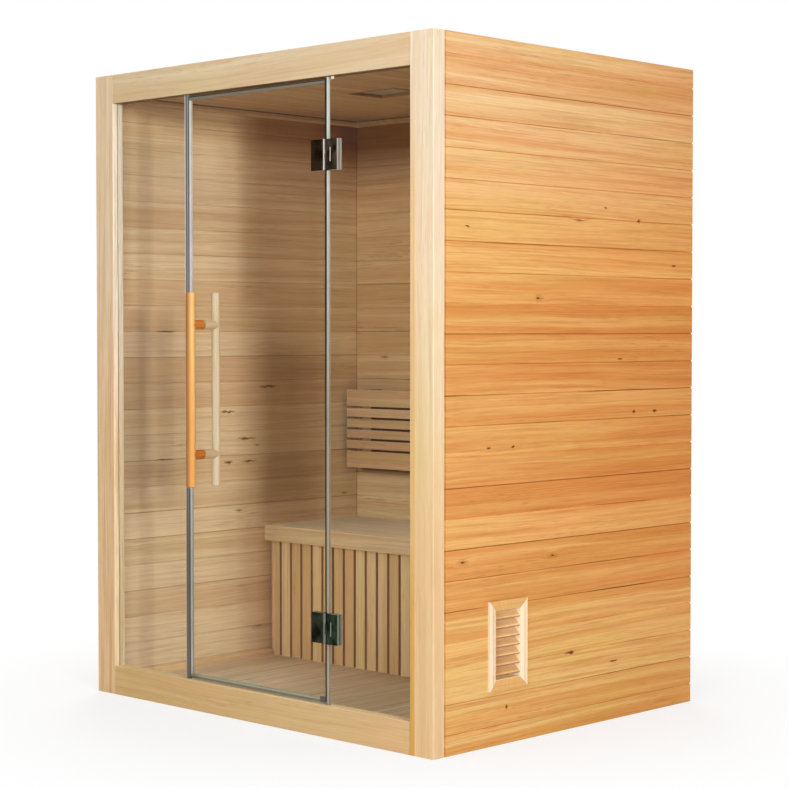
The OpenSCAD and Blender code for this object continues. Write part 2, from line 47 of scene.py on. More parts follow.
camera_data.clip_end = 200.0
camera = bpy.data.objects.new("camera", camera_data)
camera.location = (4.4011, -4.5197, 1.1781)
camera.rotation_euler = (math.radians(90 - 1.841), 0.0, math.radians(44.121))
bpy.context.scene.collection.objects.link(camera)
bpy.context.scene.camera = camera

# ---- Floor bearers ---------------------------------------------------------------------------------------
# Seven sawn softwood bars lie across the cabin on the ground and carry the floor boards.
# The wood of every piece is made here: growth rings round a pith line, sap bands, fibres, flecks and knots.
along_x, along_y, along_z = "XYZ", "YXZ", "ZXY"
sideways, inwards, upwards = 0, 1, 2


def shade(red, green, blue):
    """A colour given as three numbers up to 255, made linear for a shader."""
    steps = [value / 255 for value in (red, green, blue)]
    return (*[s / 12.92 if s < 0.04045 else ((s + 0.055) / 1.055) ** 2.4 for s in steps], 1.0)


def feed(tree, socket, value):
    """Links value to socket if it is an output, or else sets it."""
    if isinstance(value, bpy.types.NodeSocket):
        tree.links.new(value, socket)
    elif value is not None:
        socket.default_value = value


def calc(tree, operation, *values):
    """The result of one sum on numbers or outputs."""
    node = tree.nodes.new("ShaderNodeMath")
    node.operation = operation
    for socket, value in zip(node.inputs, values):
        feed(tree, socket, value)
    return node.outputs[0]


def spread(tree, value, low, high, to_low=0.0, to_high=1.0, smooth=False):
    """value from low..high carried to to_low..to_high, and held there."""
    node = tree.nodes.new("ShaderNodeMapRange")
    node.interpolation_type = "SMOOTHSTEP" if smooth else "LINEAR"
    for socket, number in zip(node.inputs, (value, low, high, to_low, to_high)):
        feed(tree, socket, number)
    return node.outputs[0]


def point(tree, x, y, z=0.0):
    """Two or three numbers or outputs as one vector."""
    node = tree.nodes.new("ShaderNodeCombineXYZ")
    for socket, value in zip(node.inputs, (x, y, z)):
        feed(tree, socket, value)
    return node.outputs[0]


def parts_of(tree, vector):
    """The three numbers of a vector."""
    node = tree.nodes.new("ShaderNodeSeparateXYZ")
    feed(tree, node.inputs[0], vector)
    return node.outputs


def cloud(tree, vector, detail=2.0, roughness=0.55):
    """A soft noise from 0 to 1 whose grains are about as large as one unit of vector."""
    node = tree.nodes.new("ShaderNodeTexNoise")
    for name, value in (("Vector", vector), ("Scale", 1.0), ("Detail", detail), ("Roughness", roughness)):
        feed(tree, node.inputs[name], value)
    return node.outputs[0]


def stretched(tree, *parts, detail=2.0, roughness=0.55):
    """A soft noise on two or three values, each given with the number of grains in one unit of it."""
    scaled = [calc(tree, "MULTIPLY", value, grains) for value, grains in parts]
    return cloud(tree, point(tree, *scaled), detail, roughness)


def tint(tree, share, under, over, mode="MIX"):
    """The colour over laid on the colour under by share."""
    node = tree.nodes.new("ShaderNodeMix")
    node.data_type = "RGBA"
    node.blend_type = mode
    for socket, value in ((node.inputs[0], share), (node.inputs[6], under), (node.inputs[7], over)):
        feed(tree, socket, value)
    return node.outputs[2]


# The softwood pattern. Place is metres along the grain, across the boards and into them.
softwood = bpy.data.node_groups.new("softwood", "ShaderNodeTree")
for label, kind, value in (
    ("Place", "NodeSocketVector", None),
    ("Board Width", "NodeSocketFloat", 10.0),
    ("First Joint", "NodeSocketFloat", -5.0),
    ("Seed", "NodeSocketFloat", 0.0),
    ("Pale", "NodeSocketColor", None),
    ("Warm", "NodeSocketColor", None),
    ("Dark", "NodeSocketColor", None),
    ("Bands", "NodeSocketFloat", 0.8),
    ("Board Spread", "NodeSocketFloat", 0.2),
    ("Patches", "NodeSocketFloat", 0.5),
    ("Streaks", "NodeSocketFloat", 0.35),
    ("Rings", "NodeSocketFloat", 0.16),
    ("Ring Width", "NodeSocketFloat", 0.0045),
    ("Fibres", "NodeSocketFloat", 0.16),
    ("Flecks", "NodeSocketFloat", 0.5),
    ("Knots", "NodeSocketFloat", 0.0),
    ("Knot Size", "NodeSocketFloat", 1.0),
    ("Joint Line", "NodeSocketFloat", 0.0),
):
    socket = softwood.interface.new_socket(label, in_out="INPUT", socket_type=kind)
    if value is not None:
        socket.default_value = value
for label, kind in (
    ("Color", "NodeSocketColor"),
    ("Height", "NodeSocketFloat"),
    ("Roughness", "NodeSocketFloat"),
):
    softwood.interface.new_socket(label, in_out="OUTPUT", socket_type=kind)
given = softwood.nodes.new("NodeGroupInput").outputs
shown = softwood.nodes.new("NodeGroupOutput").inputs

along, across, depth = parts_of(softwood, given["Place"])
from_first = calc(softwood, "SUBTRACT", across, given["First Joint"])
joints = calc(softwood, "DIVIDE", from_first, given["Board Width"])
board = calc(softwood, "FLOOR", joints)
in_board = calc(softwood, "SUBTRACT", calc(softwood, "SUBTRACT", joints, board), 0.5)
in_board = calc(softwood, "MULTIPLY", in_board, given["Board Width"])

# each board has its own place in the trunk
lot = softwood.nodes.new("ShaderNodeTexWhiteNoise")
lot.noise_dimensions = "1D"
feed(softwood, lot.inputs["W"], calc(softwood, "MULTIPLY_ADD", given["Seed"], 37.7, board))
lot_a, lot_b, lot_c = parts_of(softwood, lot.outputs["Color"])
run = calc(softwood, "MULTIPLY_ADD", lot_a, 23.0, along)

# knots: a few small round spots that push the grain aside
cells = softwood.nodes.new("ShaderNodeTexVoronoi")
cells.voronoi_dimensions = "2D"
feed(softwood, cells.inputs["Scale"], 5.0)
over = calc(softwood, "MULTIPLY_ADD", lot_b, 5.0, in_board)
feed(softwood, cells.inputs["Vector"], point(softwood, run, over))
knot_lot, knot_size, _ = parts_of(softwood, cells.outputs["Color"])
knot_here = calc(softwood, "LESS_THAN", knot_lot, given["Knots"])
knot_run, knot_over, _ = parts_of(softwood, cells.outputs["Position"])
off_run = calc(softwood, "POWER", calc(softwood, "SUBTRACT", run, knot_run), 2.0)
off_over = calc(softwood, "POWER", calc(softwood, "SUBTRACT", over, knot_over), 2.0)
knot_far = calc(softwood, "SQRT", calc(softwood, "MULTIPLY_ADD", off_run, 0.16, off_over))
knot_radius = calc(softwood, "MULTIPLY_ADD", calc(softwood, "POWER", knot_size, 3.0), 0.0034, 0.0013)
knot_radius = calc(softwood, "MULTIPLY", knot_radius, given["Knot Size"])
in_radii = calc(softwood, "DIVIDE", knot_far, knot_radius)
knot = calc(softwood, "MULTIPLY", spread(softwood, in_radii, 1.3, 0.6, smooth=True), knot_here)
halo = calc(softwood, "MULTIPLY", spread(softwood, in_radii, 4.5, 1.0, smooth=True), knot_here)
feather = calc(softwood, "MULTIPLY_ADD", off_run, 900.0, calc(softwood, "MULTIPLY", off_over, 160000.0))
feather = calc(softwood, "MULTIPLY", spread(softwood, feather, 1.0, 0.1), knot_here)
swell = calc(softwood, "MULTIPLY", spread(softwood, knot_far, 0.03, 0.0, smooth=True), knot_here)

# the grain drifts slowly across a board and ripples a little
drift = stretched(softwood, (run, 0.5), (lot_b, 50.0), detail=1.0)
ripple = stretched(softwood, (run, 3.0), (across, 14.0), (lot_c, 40.0))
side = calc(softwood, "MULTIPLY_ADD", depth, 0.7, in_board)
side = calc(softwood, "MULTIPLY_ADD", drift, 0.07, side)
side = calc(softwood, "MULTIPLY_ADD", ripple, 0.011, side)
side = calc(softwood, "MULTIPLY_ADD", swell, 0.008, side)

# broad sap bands and narrower streaks run the whole length
band = stretched(softwood, (run, 0.5), (side, 30.0), (lot_c, 20.0), roughness=0.5)
band = calc(softwood, "MULTIPLY_ADD", calc(softwood, "SUBTRACT", lot_b, 0.5), given["Board Spread"], band)
band = calc(softwood, "MULTIPLY", spread(softwood, band, 0.36, 0.66, smooth=True), given["Bands"])
streak = stretched(softwood, (run, 2.5), (side, 130.0), (lot_a, 20.0), detail=3.0, roughness=0.6)

# growth rings lie round a pith line somewhere behind the board
from_pith = calc(softwood, "ADD", side, calc(softwood, "MULTIPLY_ADD", lot_b, 0.2, -0.13))
pith_depth = calc(softwood, "ADD", depth, calc(softwood, "MULTIPLY_ADD", lot_c, 0.05, 0.03))
radius = calc(softwood, "MULTIPLY_ADD", from_pith, from_pith, calc(softwood, "POWER", pith_depth, 2.0))
ring = calc(softwood, "FRACT", calc(softwood, "DIVIDE", calc(softwood, "SQRT", radius), given["Ring Width"]))
ring = calc(softwood, "POWER", ring, 3.0)

# long fibres, and shorter ones between them
fibre = stretched(softwood, (run, 7.0), (side, 480.0), (depth, 480.0), roughness=0.6)
short = stretched(softwood, (run, 16.0), (side, 170.0), (lot_c, 1.0), detail=3.0, roughness=0.65)

# short dark flecks lie along the grain, in groups
fleck = stretched(softwood, (run, 14.0), (side, 240.0), (depth, 240.0), detail=1.0)
group = stretched(softwood, (run, 2.2), (side, 16.0), (lot_b, 1.0), detail=1.0)
fleck = calc(softwood, "MULTIPLY", spread(softwood, fleck, 0.6, 0.7), spread(softwood, group, 0.52, 0.68))

# some joints stand open as a thin dark line, and most are closed
off_middle = calc(softwood, "MULTIPLY", calc(softwood, "ABSOLUTE", in_board), -1.0)
to_joint = calc(softwood, "MULTIPLY_ADD", given["Board Width"], 0.5, off_middle)
joint_noise = softwood.nodes.new("ShaderNodeTexWhiteNoise")
joint_noise.noise_dimensions = "1D"
nearest_joint = calc(softwood, "ROUND", joints)
feed(softwood, joint_noise.inputs["W"], calc(softwood, "MULTIPLY_ADD", given["Seed"], 11.3, nearest_joint))
joint_lot = joint_noise.outputs["Value"]
opening = stretched(softwood, (along, 2.5), (joint_lot, 60.0))
opening = calc(softwood, "MULTIPLY_ADD", calc(softwood, "SUBTRACT", joint_lot, 0.5), 0.7, opening)
opening = calc(softwood, "MULTIPLY", spread(softwood, opening, 0.45, 0.8, 0.12, 1.0), given["Joint Line"])
opening = calc(softwood, "MULTIPLY", opening, spread(softwood, to_joint, 0.0018, 0.0006))

# the colours go on one over the other, from the broad bands to the fine dark marks
wood = tint(softwood, band, given["Pale"], given["Warm"])
patch = stretched(softwood, (run, 1.3), (across, 7.0), (given["Seed"], 1.0))
golden = calc(softwood, "MULTIPLY", spread(softwood, patch, 0.5, 0.66, smooth=True), given["Patches"])
rosy = calc(softwood, "MULTIPLY", spread(softwood, patch, 0.48, 0.34, smooth=True), given["Patches"])
wood = tint(softwood, golden, wood, (0.95, 1.02, 0.86, 1.0), "MULTIPLY")
wood = tint(softwood, rosy, wood, (1.04, 0.92, 0.92, 1.0), "MULTIPLY")
for mask, strength in (
    (spread(softwood, streak, 0.46, 0.8), given["Streaks"]),
    (ring, given["Rings"]),
    (spread(softwood, fibre, 0.35, 0.7), given["Fibres"]),
    (spread(softwood, short, 0.46, 0.8), given["Fibres"]),
    (fleck, given["Flecks"]),
    (halo, 0.35),
):
    wood = tint(softwood, calc(softwood, "MULTIPLY", mask, strength), wood, given["Dark"])
feather = calc(softwood, "MULTIPLY", feather, spread(softwood, fibre, 0.4, 0.56, 0.0, 0.8))
knot_and_feather = calc(softwood, "MAXIMUM", feather, calc(softwood, "MULTIPLY", knot, 0.85))
wood = tint(softwood, knot_and_feather, wood, shade(78, 34, 4))
wood = tint(softwood, opening, wood, shade(116, 56, 16))
relief = calc(softwood, "MULTIPLY_ADD", fibre, 0.6, calc(softwood, "MULTIPLY", ring, -0.4))
feed(softwood, shown["Color"], wood)
feed(softwood, shown["Height"], relief)
feed(softwood, shown["Roughness"], calc(softwood, "MULTIPLY_ADD", fibre, 0.16, -0.08))


def new_finish(name):
    """A new material, with its node tree and its surface shader."""
    finish = bpy.data.materials.new(name)
    finish.use_nodes = True
    return finish, finish.node_tree, finish.node_tree.nodes["Principled BSDF"]


def place_on(tree):
    """Where a point of the surface is, in metres sideways, inwards and upwards."""
    return parts_of(tree, tree.nodes.new("ShaderNodeTexCoord").outputs["Object"])


def wood_finish(name, grain, seed, colours, gloss=0.55, board=(10.0, -5.0), toned=None, edges=0.0, **amounts):
    """A wood. grain says which axes run along it, across it and into it.
    board gives the width of its boards and the place of their first joint.
    toned gives two heights and a colour: painted shade that grows from nothing at the first height to the full
    colour at the second.
    edges says how much paler the slanted planed edges are painted, as a painted highlight where eased edges
    catch the light."""
    finish, tree, surface = new_finish(name)
    place = place_on(tree)
    pattern = tree.nodes.new("ShaderNodeGroup")
    pattern.node_tree = softwood
    feed(tree, pattern.inputs["Place"], point(tree, *[place["XYZ".index(axis)] for axis in grain]))
    settings = {"Board Width": board[0], "First Joint": board[1], "Seed": seed}
    settings.update(zip(("Pale", "Warm", "Dark"), colours))
    settings.update({label.replace("_", " ").title(): value for label, value in amounts.items()})
    for label, value in settings.items():
        pattern.inputs[label].default_value = value
    colour = pattern.outputs["Color"]
    # painted shade: the wood is multiplied by the shade colour between the two heights
    if toned:
        pale_height, full_height, shade_colour = toned
        share = spread(tree, place[upwards], pale_height, full_height, smooth=True)
        colour = tint(tree, share, colour, shade_colour, "MULTIPLY")
    # painted highlight on the slanted faces of eased edges
    if edges:
        squarest = calc(tree, "MAXIMUM", normal_share(tree, sideways), normal_share(tree, inwards))
        squarest = calc(tree, "MAXIMUM", squarest, normal_share(tree, upwards))
        slanted = calc(tree, "MULTIPLY", calc(tree, "LESS_THAN", squarest, 0.9), edges)
        colour = tint(tree, slanted, colour, (1.4, 1.45, 1.5, 1.0), "MULTIPLY")
    feed(tree, surface.inputs["Base Color"], colour)
    feed(tree, surface.inputs["Roughness"], calc(tree, "ADD", pattern.outputs["Roughness"], gloss))
    surface.inputs["Specular IOR Level"].default_value = 0.2
    bump = tree.nodes.new("ShaderNodeBump")
    bump.inputs["Distance"].default_value = 0.0004
    feed(tree, bump.inputs["Height"], pattern.outputs["Height"])
    feed(tree, surface.inputs["Normal"], bump.outputs["Normal"])
    return finish


def normal_share(tree, axis):
    """How squarely the surface faces along an axis of its object, from 0 to 1."""
    turned = tree.nodes.new("ShaderNodeVectorTransform")
    turned.vector_type = "NORMAL"
    turned.convert_from = "WORLD"
    turned.convert_to = "OBJECT"
    feed(tree, turned.inputs[0], tree.nodes.new("ShaderNodeNewGeometry").outputs["True Normal"])
    return calc(tree, "ABSOLUTE", parts_of(tree, turned.outputs[0])[axis])


def stained_or_shaded(finish, share, colour):
    """Multiplies a finish by a colour as far as share says; it lays real marks as well as painted light and
    shade.
    """
    tree = finish.node_tree
    base = tree.nodes["Principled BSDF"].inputs["Base Color"]
    feed(tree, base, tint(tree, share, base.links[0].from_socket, (*colour, 1.0), "MULTIPLY"))
    return finish


def laid(finish, colour, *limits):
    """Multiplies a finish by a colour where all the limits hold.
    A limit is an axis, the place on it where the colour is full and the place where it has gone."""
    tree = finish.node_tree
    place = place_on(tree)
    share = 1.0
    for axis, full, gone in limits:
        share = calc(tree, "MULTIPLY", share, spread(tree, place[axis], gone, full))
    return stained_or_shaded(finish, share, colour)


def dress(node, finish):
    """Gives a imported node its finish."""
    for slot in cabin_nodes[node].material_slots:
        slot.material = finish


tan_wood = (shade(216, 184, 142), shade(196, 158, 113), shade(140, 98, 62))
dress("floor_bearers", wood_finish("bearer_wood", along_x, 3.1, tan_wood, gloss=0.7))

# ---- Floor boards ----------------------------------------------------------------------------------------
# Tongued boards run from the glass front to the back wall, planed and left bare.
deck_pitch = 0.094
room_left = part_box("floor_boards")[0].x
room_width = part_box("floor_boards")[1].x - room_left
deck_count = math.floor(room_width / deck_pitch)
first_deck_joint = room_left + (room_width - (deck_count - 1) * deck_pitch) / 2
deck_joints = (deck_pitch, first_deck_joint)
floor_wood = (shade(228, 210, 178), shade(210, 186, 150), shade(146, 116, 84))
floor_finish = wood_finish("floor_wood", along_y, 5.2, floor_wood, board=deck_joints,
                           board_spread=0.5, streaks=0.9)
# painted shade: the floor boards darken towards the back of the room and towards its right side
laid(floor_finish, (0.9, 0.83, 0.74), (inwards, 0.1, -0.2))
dress("floor_boards", laid(floor_finish, (0.86, 0.87, 0.8), (sideways, 0.2, -0.3)))

# ---- Inner wall boards -----------------------------------------------------------------------------------
# Tongued and grooved softwood boards lie one over the other on all three walls, planed and left bare.


def marked(finish, *marks):
    """Adds dark resin marks to boards.
    Each is a place along and up the wall, a half length and a half height."""
    resin = (0.24, 0.1, 0.03)
    tree = finish.node_tree
    place = place_on(tree)
    bend = stretched(tree, (place[sideways], 1.0), (place[inwards], 70.0), (place[upwards], 150.0))
    bend = calc(tree, "MULTIPLY_ADD", bend, 4.0, -2.0)
    share = 0.0
    for along, up, length, height in marks:
        run = calc(tree, "DIVIDE", calc(tree, "SUBTRACT", place[inwards], along), length)
        rise = calc(tree, "DIVIDE", calc(tree, "SUBTRACT", place[upwards], up), height)
        rise = calc(tree, "ADD", bend, rise)
        far = calc(tree, "MULTIPLY_ADD", run, run, calc(tree, "MULTIPLY", rise, rise))
        share = calc(tree, "MAXIMUM", share, spread(tree, far, 1.6, 0.2))
    return stained_or_shaded(finish, share, resin)


inner_joints = (0.0856, 0.063)
lining_wood = (shade(234, 200, 154), shade(216, 174, 124), shade(156, 108, 66))
across_side, across_back = "YZX", "XZY"
lining = dict(board=inner_joints, knots=0.08, knot_size=1.6, bands=0.85, board_spread=0.3, patches=0.25,
              streaks=0.4, rings=0.12, flecks=0.5, joint_line=0.4)
rear_ends = ((0.92, 0.72, 0.45), (inwards, 0.5995, 0.5985))
left_lining = wood_finish("left_lining_wood", across_side, 11.3, lining_wood, **lining)
# painted light and shade on the left wall: paler towards the glass where the light comes in, painted shadow
# bands across its middle, and painted shade under the ceiling, at seat height and in the rear corner
laid(left_lining, (1.02, 1.1, 1.22), (inwards, -0.05, 0.15))
laid(left_lining, (0.84, 0.82, 0.78), (upwards, 1.55, 1.4), (upwards, 1.78, 1.86), (inwards, -0.38, -0.12))
laid(left_lining, (0.57, 0.36, 0.08), (upwards, 1.86, 1.75), (inwards, 0.11, -0.06), (inwards, 0.57, 0.59))
laid(left_lining, (0.82, 0.78, 0.68), (upwards, 1.89, 1.86), (inwards, -0.03, 0.02))
laid(left_lining, (0.64, 0.4, 0.0), (upwards, 1.84, 1.7), (inwards, 0.5, 0.3), (inwards, 0.57, 0.59))
laid(left_lining, (1.09, 1.17, 1.2), (inwards, 0.42, 0.34), (inwards, 0.57, 0.59), (upwards, 1.64, 1.72))
laid(left_lining, (0.7, 0.6, 0.5), (inwards, 0.558, 0.554), (inwards, 0.57, 0.59))
laid(left_lining, (0.77, 0.74, 0.7), (upwards, 0.95, 1.35), (upwards, 0.72, 0.5), (inwards, -0.27, -0.12))
laid(left_lining, (1.12, 1.13, 1.12), (inwards, -0.17, -0.27), (inwards, -0.04, 0.02))
laid(left_lining, (0.86, 0.82, 0.72), (inwards, 0.03, -0.03), (inwards, 0.08, 0.14), (upwards, 1.3, 1.25))
laid(left_lining, (1.1, 1.17, 1.17), (inwards, 0.26, 0.14), (upwards, 1.16, 1.06), (upwards, 1.6, 1.7))
laid(left_lining, (0.86, 0.8, 0.7), (upwards, 0.64, 0.74), (inwards, 0.12, 0.06), (inwards, 0.3, 0.4))
laid(left_lining, (0.62, 0.56, 0.4), (upwards, 1.08, 1.25), (upwards, 0.66, 0.5),
     (inwards, 0.135, 0.02), (inwards, 0.24, 0.5))
laid(left_lining, (0.92, 0.94, 0.92), (upwards, 0.5, 0.8), (inwards, -0.1, 0.1))
laid(left_lining, *rear_ends)
dress("left_wall_lining", marked(
    left_lining,
    (0.12, 0.984, 0.036, 0.0038),
    (-0.065, 0.9, 0.03, 0.0036),
    (0.017, 0.805, 0.04, 0.0034),
    (0.069, 0.78, 0.01, 0.003),
    (-0.066, 0.725, 0.018, 0.004),
    (0.031, 0.725, 0.032, 0.0035),
    (-0.339, 1.176, 0.038, 0.0024),
    (-0.34, 0.748, 0.038, 0.0024),
))
right_lining = wood_finish("right_lining_wood", across_side, 12.9, lining_wood, **lining)
dress("right_wall_lining", laid(right_lining, *rear_ends))
back_lining = wood_finish("back_lining_wood", across_back, 14.4, lining_wood, **lining)
# painted light and shade on the back wall: lighter below 1.7 m, painted shade under the ceiling, lighter again
# below the backrest, and a painted shadow of the backrest on the wall behind and just below it
laid(back_lining, (1.08, 1.08, 1.0), (upwards, 1.7, 1.75))
laid(back_lining, (0.37, 0.2, 0.0), (upwards, 1.845, 1.7))
laid(back_lining, (1.2, 1.36, 1.55), (upwards, 0.645, 0.655))
low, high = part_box("backrest_boards")
laid(back_lining, (0.3, 0.23, 0.15),
     (sideways, low.x + 0.01, low.x - 0.01), (sideways, high.x - 0.01, high.x + 0.01),
     (upwards, low.z - 0.012, low.z - 0.022), (upwards, high.z - 0.01, high.z))
dress("back_wall_lining", back_lining)

# ---- Outer wall boards -----------------------------------------------------------------------------------
# The same boards in honey-coloured heartwood clad the outside, oiled, with a fine V at each joint.
outer_joints = (0.0856, 0.057)
honey_wood = (shade(236, 190, 134), shade(220, 152, 90), shade(176, 90, 26))
# painted falloff of the light on the outer boards: darker and warmer from 1.9 m down to 1.35 m and below
painted_falloff_outside = (1.9, 1.35, (0.9, 0.79, 0.56, 1.0))
cladding = dict(gloss=0.5, board=outer_joints, toned=painted_falloff_outside, edges=0.5, knots=0.1, knot_size=0.8, bands=0.8,
                board_spread=0.25, streaks=0.5, rings=0.14, fibres=0.18, flecks=0.4, joint_line=0.7)
# joints of the right wall that stand darker: how many boards up, where each starts and ends from front
# to back, and how much of its colour is left
dark_joints = (
    (4, -0.6, -0.45, 0.65),
    (4, 0.15, 0.34, 0.55),
    (6, -0.6, 0.6, 0.52),
    (7, 0.15, 0.35, 0.65),
    (8, -0.6, 0.6, 0.56),
    (11, 0.1, 0.6, 0.62),
    (11, -0.6, -0.52, 0.5),
    (12, -0.6, 0.6, 0.8),
    (13, -0.6, 0.6, 0.72),
    (16, -0.6, 0.6, 0.85),
    (17, -0.6, 0.6, 0.8),
    (18, -0.6, 0.6, 0.8),
    (19, -0.6, 0.6, 0.82),
)
line_half, line_fade, end_fade = 0.0008, 0.0024, 0.08
for side_name, axes, seed in (
    ("left", across_side, 21.7),
    ("right", across_side, 23.3),
    ("back", across_back, 25.9),
):
    boards = wood_finish(f"{side_name}_cladding_wood", axes, seed, honey_wood, **cladding)
    laid(boards, (1.0, 1.19, 1.3), (upwards, 0.15, 0.6))
    laid(boards, (0.95, 1.03, 1.1), (upwards, 1.8, 1.5))
    laid(boards, (0.985, 1.04, 1.07))
    if side_name != "back":
        laid(boards, (0.96, 0.85, 0.74), (inwards, 0.5, -0.4))
    if side_name == "right":
        laid(boards, (1.04, 1.1, 1.12), (upwards, 1.425, 1.428), (upwards, 1.257, 1.254))
        laid(boards, (0.96, 0.92, 0.88), (upwards, 1.254, 1.257), (upwards, 0.658, 0.655))
        for count, near, far, left_over in dark_joints:
            level = outer_joints[1] + outer_joints[0] * count
            laid(boards, (left_over, left_over * 0.86, left_over * 0.62),
                 (upwards, level + line_half, level + line_fade),
                 (upwards, level - line_half, level - line_fade),
                 (inwards, near, near - end_fade), (inwards, far, far + end_fade))
        marked(
            boards,
            (-0.007, 0.2265, 0.021, 0.0036),
            (0.202, 0.1777, 0.018, 0.0028),
            (-0.293, 0.1034, 0.005, 0.006),
            (-0.463, 1.4677, 0.009, 0.0032),
            (0.32, 1.513, 0.008, 0.0042),
            (0.501, 1.3807, 0.011, 0.003),
            (0.229, 1.0923, 0.011, 0.003),
            (0.3, 0.9314, 0.008, 0.0038),
            (0.405, 0.9315, 0.01, 0.0038),
            (-0.372, 0.8474, 0.009, 0.003),
            (-0.267, 0.8476, 0.007, 0.0036),
            (0.156, 1.5473, 0.007, 0.0027),
        )
    dress(f"{side_name}_wall_cladding", boards)

# ---- Roof ------------------------------------------------------------------------------------------------
# Joists lie across the cabin on the ceiling boards, and plain boards from front to back close the top.
dress("roof_joists", wood_finish("joist_wood", along_x, 31.2, tan_wood, gloss=0.7))
dress("roof_boards", wood_finish("roof_wood", along_y, 33.8, honey_wood, board=deck_joints))

# ---- Ceiling ---------------------------------------------------------------------------------------------
# Boards run from front to back over the room, with a small planed strip in the corner to each wall.
ceiling_wood = (shade(206, 170, 118), shade(186, 143, 92), shade(128, 86, 46))
ceiling_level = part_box("ceiling_lining")[0].z
# painted shade in the cut faces round the light and in the board joints, everything above the ceiling's face
painted_shade_in_cuts = (ceiling_level + 0.0004, ceiling_level + 0.002, (0.35, 0.28, 0.22, 1.0))
ceiling_finish = wood_finish("ceiling_wood", along_y, 35.1, ceiling_wood, board=deck_joints,
                             toned=painted_shade_in_cuts)
dress("ceiling_lining", ceiling_finish)
trim_finish = wood_finish("trim_wood", along_y, 36.6, ceiling_wood)
# painted shade along the top of the trim, where it meets the ceiling
laid(trim_finish, (0.4, 0.3, 0.2), (upwards, ceiling_level - 0.003, ceiling_level - 0.006))
dress("ceiling_trim", trim_finish)
dress("skirting", wood_finish("skirting_wood", along_y, 37.4, lining_wood))

# ---- Ceiling light ---------------------------------------------------------------------------------------
# A frosted panel sits in an opening of the ceiling boards, inside a thin brown lip that hangs just below
# them.
panel, tree, surface = new_finish("frosted_panel")
mottle = cloud(tree, tree.nodes.new("ShaderNodeTexCoord").outputs["Object"])
feed(tree, surface.inputs["Base Color"], tint(tree, mottle, shade(166, 152, 122), shade(158, 146, 116)))
surface.inputs["Roughness"].default_value = 0.5
dress("ceiling_light", panel)
low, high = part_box("ceiling_light")
lip_oversize, lip_drop = 0.007, 0.0028
bpy.ops.object.select_all(action="DESELECT")
bpy.ops.mesh.primitive_plane_add(size=1.0, location=(0.0, 0.0, 0.0))
lip = bpy.context.object
lip.name = "ceiling_light_lip"
bpy.ops.object.mode_set(mode="EDIT")
lip_size = (high.x - low.x + lip_oversize, high.y - low.y + lip_oversize, 1.0)
bpy.ops.transform.resize(value=lip_size, center_override=(0.0, 0.0, 0.0))
bpy.ops.mesh.inset(thickness=0.002, depth=0.0)
bpy.ops.mesh.delete(type="FACE")
bpy.ops.mesh.select_all(action="SELECT")
bpy.ops.mesh.extrude_region_move(TRANSFORM_OT_translate={"value": (0.0, 0.0, 0.01)})
bpy.ops.mesh.select_all(action="SELECT")
bpy.ops.mesh.bevel(offset=0.0004, segments=1)
bpy.ops.mesh.normals_make_consistent(inside=False)
bpy.ops.transform.translate(value=((low.x + high.x) / 2, (low.y + high.y) / 2, ceiling_level - lip_drop))
bpy.ops.object.mode_set(mode="OBJECT")
# the lip is coloured darker than the ceiling boards, partly as painted shade round the panel
shaded_lip_wood = (shade(168, 120, 66), shade(148, 100, 48), shade(110, 70, 30))
lip.data.materials.append(wood_finish("light_lip_wood", along_x, 38.0, shaded_lip_wood))
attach(lip, "cabin")

# ---- Bench -----------------------------------------------------------------------------------------------
# Seat boards rest on ledgers at the walls and on a screen of upright slats, behind a deep front board.
bench_wood = (shade(238, 212, 166), shade(218, 182, 130), shade(162, 118, 70))
seat_wood = (shade(236, 222, 188), shade(216, 194, 154), shade(158, 126, 86))
seat_finish = wood_finish("seat_wood", along_x, 41.5, seat_wood, board=(0.108, 0.06), streaks=0.5)
dress("bench_seat_boards", laid(seat_finish, (1.09, 1.16, 1.26)))
fascia_finish = wood_finish("fascia_wood", along_x, 42.8, bench_wood, edges=0.4, streaks=0.5)
dress("bench_fascia", laid(fascia_finish, (1.09, 1.17, 1.23)))
slat_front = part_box("bench_slat_screen")[0].y
slat_row, slat_count = 1.42, 27
slat_joints = (slat_row / slat_count, -slat_row / 2)
slat_wood = wood_finish("slat_wood", along_z, 43.3, bench_wood, board=slat_joints,
                        board_spread=0.8, edges=0.3)
# painted light on the fronts of the slats, and painted shade on their sides and on what shows between them
laid(slat_wood, (1.17, 1.13, 1.03), (inwards, slat_front + 0.001, slat_front + 0.003))
laid(slat_wood, (0.75, 0.46, 0.2), (inwards, slat_front + 0.003, slat_front + 0.001))
dress("bench_slat_screen", slat_wood)
for wall in ("left", "right", "back"):
    dress(f"bench_ledger_{wall}", wood_finish(f"ledger_{wall}_wood", along_x, 44.0, bench_wood))

# ---- Backrest --------------------------------------------------------------------------------------------
# Two wide boards and four slats are fixed on upright battens that hold them off the back wall.
rest_wood = (shade(230, 196, 154), shade(212, 172, 126), shade(156, 112, 72))
rest_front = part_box("backrest_boards")[0].y
rest_boards = wood_finish("backrest_wood", across_back, 46.1, rest_wood, board=(0.0385, 0.5905), edges=0.5)
laid(rest_boards, (1.06, 1.08, 1.05), (upwards, 0.85, 0.8))
laid(rest_boards, (1.05, 0.99, 0.9), (upwards, 0.76, 0.8))
# painted shade on the sides of the boards and slats, behind their fronts
laid(rest_boards, (0.35, 0.28, 0.2), (inwards, rest_front + 0.005, rest_front + 0.0022))
dress("backrest_boards", rest_boards)
for batten in ("left", "middle", "right"):
    batten_wood = wood_finish(f"batten_{batten}_wood", along_z, 47.0, rest_wood)
    # painted shade on the sides of the battens, behind the backrest
    laid(batten_wood, (0.3, 0.23, 0.16), (inwards, rest_front + 0.018, rest_front + 0.0155))
    dress(f"backrest_batten_{batten}", batten_wood)

